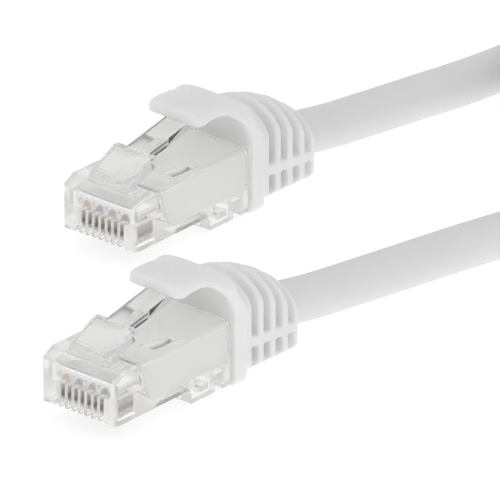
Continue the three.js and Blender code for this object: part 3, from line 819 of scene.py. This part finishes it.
def boot_shape():
    """Collar, ribbed strain relief and hood as the one moulding that they are."""
    c = COLLAR

    def ring(y, top, roof, power, grow):
        return [(x, y, z) for x, z in outline(
            c["half"] + grow, c["bottom"] - grow * 0.3, top + grow, roof, power, 0.9)]
    boot = loft("boot", [
        ring(c["front"], c["top"], ROOF, 4.0, 0),
        ring(c["back"] - 0.35, c["back_top"] + 0.15, 3.4, 2.5, 0),
        ring(c["back"], c["back_top"], 3.4, 2.5, -0.3),
    ])
    body = loft("body", [body_ring(y) for y in np.arange(c["back"] - 1.0, BOOT_END + 0.01, 0.06)])
    gather(boot, [body, hood_solid()])
    remesh(boot, SKIN, 3)
    bore = loft("bore", tube_rings(smooth_line(BORE, 1.0), CORD_RADIUS + BORE_GAP, 64))
    combine(boot, [bore], "DIFFERENCE")
    for vertex in boot.data.vertices:
        x, y, z = vertex.co
        if z > 10:
            away = math.dist((x, y), DIMPLE)
            vertex.co.z -= DIMPLE_DEPTH * math.exp(-(away / DIMPLE_RADIUS) ** 4)
    boot.data.shade_smooth()
    return boot


def make_boots():
    shape = boot_shape()
    for side in SIDES:
        boot = set_down(shape, "boot_moulding", side, BOOT_WHITE, body=None)
        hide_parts(f"boot_{side}", f"boot_hood_{side}")
        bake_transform(boot)
    bpy.data.objects.remove(shape)


make_boots()


# ---- Plug --------------------------------------------------------------------------------------
def level_at(start, end, y):
    """The height at y of the line through two points of the side view."""
    return mix(start[1], end[1], (y - start[0]) / (end[0] - start[0]))


def mark_edges(latch):
    """Lays a map over the latch: its length along the tail, and its height through the tail."""
    latch.data.materials.append(LATCH_CLEAR)
    latch.data.materials.append(LATCH_EDGE)
    layer = latch.data.uv_layers.new(name="tail")
    for face in latch.data.polygons:
        on_tail = abs(face.center.x) < 1.8 and face.center.y > 6.6
        if on_tail and abs(face.normal.x) > 0.7:
            face.material_index = 1
        for corner in face.loop_indices:
            _, y, z = latch.data.vertices[latch.data.loops[corner].vertex_index].co
            low, high = level_at(TAIL[0], TAIL[1], y), level_at(TAIL[4], TAIL[2], y)
            layer.data[corner].uv = ((y - TAIL[0][0]) / TAIL_MAP_LENGTH, (z - low) / (high - low))


def latch_shape():
    """Wide shoulders on a thin root, and a tail that runs back under the hood."""
    latch = prism("latch", LATCH_SHOULDERS, -LATCH_HALF_WIDTH, LATCH_HALF_WIDTH, 0)
    combine(latch, [prism("tail", TAIL, -TAIL_HALF_WIDTH, TAIL_HALF_WIDTH, 0)], "UNION")
    bevel(latch, 0.14)
    settle(latch)
    shade_smooth(latch)
    mark_edges(latch)
    return latch


def make_latches():
    shape = latch_shape()
    for side in SIDES:
        latch = set_down(shape, "latch_tab", side, LATCH_CLEAR, body=None)
        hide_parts(f"latch_{side}")
        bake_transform(latch)
    bpy.data.objects.remove(shape)


def mould_shape():
    """The white filling behind the wires, which meets the clear shell all round."""
    side_view = [(MOULD_BACK, MOULD_BOTTOM), *MOULD_NOSE, (MOULD_BACK, MOULD_TOP)]
    mould = prism("mould", side_view, -MOULD_HALF_WIDTH, MOULD_HALF_WIDTH, 0)
    tools = [rod("mould_bore", CORD_RADIUS + JACKET_GAP, 9.0, 22, CORD_AXIS),
             block("mould_room", (-4.3, 4.3), (4.0, 9.5), (1.7, 5.2))]
    for s in (-1, 1):
        tools.append(prism("mould_pocket", [(s * x, y) for x, y in POCKET], POCKET_FLOOR, 7.0, 2))
    combine(mould, tools, "DIFFERENCE")
    shade_smooth(mould, 40)
    return mould


def make_moulds():
    shape = mould_shape()
    for side in SIDES:
        mould = set_down(shape, "mould_filling", side, MOULD_WHITE)
        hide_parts(f"inner_mould_{side}")
    bpy.data.objects.remove(shape)


def finish_node(name, material, width=None):
    """Gives a CAD node its material and, if a width is given, rounds its edges."""
    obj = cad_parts[name]
    obj.data.materials.clear()
    obj.data.materials.append(material)
    if width:
        bevel(obj, width * MM, 2, 30)


def finish_nodes():
    wires = [insulation(f"wire_{i + 1}_plastic", PAIR_COLOURS[colour], i + 1 in STRIPED_PINS)
             for i, colour in enumerate(WIRE_ORDER)]
    for side in SIDES:
        finish_node(f"plug_housing_{side}", HOUSING_CLEAR, HOUSING_EDGE)
        finish_node(f"load_bar_{side}", BAR_CLEAR)
        finish_node(f"jacket_end_{side}", JACKET_WHITE)
        for i in range(8):
            finish_node(f"contact_{side}_{i + 1}", GOLD, CONTACT_EDGE)
            finish_node(f"wire_{side}_{i + 1}", wires[i])


make_latches()
make_moulds()
finish_nodes()


# ---- Stage and light ---------------------------------------------------------------------------
FLOOR_HALF = 3
FLOOR_GLOW = 0.66
WORLD_STRENGTH = 0.80
WORLD_LOW = (0.80, 0.80, 0.805, 1)
WORLD_HIGH = (1, 1, 1, 1)
DARK_CARD = (-0.587, 0.463, 0.664)  # the way to a small black card behind the plugs
DARK_CARD_EDGE = 9.0  # its half width, in degrees
DARK_CARD_FADE = 3.0
DARK_CARD_TONE = (0.02, 0.02, 0.02, 1)


def make_floor():
    corners = [(-1, -1), (1, -1), (1, 1), (-1, 1)]
    floor = new_object("floor", [(x * FLOOR_HALF, y * FLOOR_HALF, 0) for x, y in corners],
                       [(0, 1, 2, 3)])
    m = Nodes("floor_white")
    m.set(base_color=(0.5, 0.5, 0.5, 1), roughness=0.9)
    m.surface.inputs["Specular IOR Level"].default_value = 0.0
    m.surface.inputs["Emission Strength"].default_value = FLOOR_GLOW
    floor.data.materials.append(m.material)


def soft_box(name, place, size, power):
    """A square lamp that faces the origin."""
    data = bpy.data.lights.new(name, "AREA")
    data.shape = "SQUARE"
    data.size = size
    data.energy = power
    light = bpy.data.objects.new(name, data)
    light.location = place
    light.rotation_euler = (-Vector(place)).to_track_quat("-Z", "Y").to_euler()
    bpy.context.scene.collection.objects.link(light)


def make_world():
    """A pale studio, a little darker low down, with one small black card in it."""
    world = bpy.data.worlds.new("studio")
    world.use_nodes = True
    tree = world.node_tree
    background = tree.nodes["Background"]
    where = tree.nodes.new("ShaderNodeTexCoord")
    split = tree.nodes.new("ShaderNodeSeparateXYZ")
    ramp = tree.nodes.new("ShaderNodeValToRGB")
    tree.links.new(where.outputs["Generated"], split.inputs["Vector"])
    tree.links.new(split.outputs["Z"], ramp.inputs["Fac"])
    ramp.color_ramp.elements[0].color = WORLD_LOW
    ramp.color_ramp.elements[1].color = WORLD_HIGH
    ramp.color_ramp.elements[1].position = 0.7
    near = tree.nodes.new("ShaderNodeVectorMath")
    near.operation = "DOT_PRODUCT"
    near.inputs[1].default_value = Vector(DARK_CARD).normalized()
    tree.links.new(where.outputs["Generated"], near.inputs[0])
    card = tree.nodes.new("ShaderNodeMapRange")
    outer_edge = math.radians(DARK_CARD_EDGE + DARK_CARD_FADE)
    card.inputs["From Min"].default_value = math.cos(outer_edge)
    card.inputs["From Max"].default_value = math.cos(math.radians(DARK_CARD_EDGE))
    tree.links.new(near.outputs["Value"], card.inputs["Value"])
    shade = tree.nodes.new("ShaderNodeMix")
    shade.data_type = "RGBA"
    tree.links.new(card.outputs["Result"], shade.inputs["Factor"])
    tree.links.new(ramp.outputs["Color"], shade.inputs["A"])
    shade.inputs["B"].default_value = DARK_CARD_TONE
    tree.links.new(shade.outputs["Result"], background.inputs["Color"])
    background.inputs["Strength"].default_value = WORLD_STRENGTH
    bpy.context.scene.world = world


make_floor()
make_world()
soft_box("key", (1.2, -0.4, 0.7), 0.5, 0.4)
soft_box("fill", (-0.5, -1.1, 0.9), 0.8, 1.0)

scene = bpy.context.scene
scene.view_settings.view_transform = "Standard"
scene.cycles.max_bounces = 24
scene.cycles.transmission_bounces = 20
scene.cycles.transparent_max_bounces = 24
scene.cycles.caustics_reflective = False

bpy.context.view_layer.update()
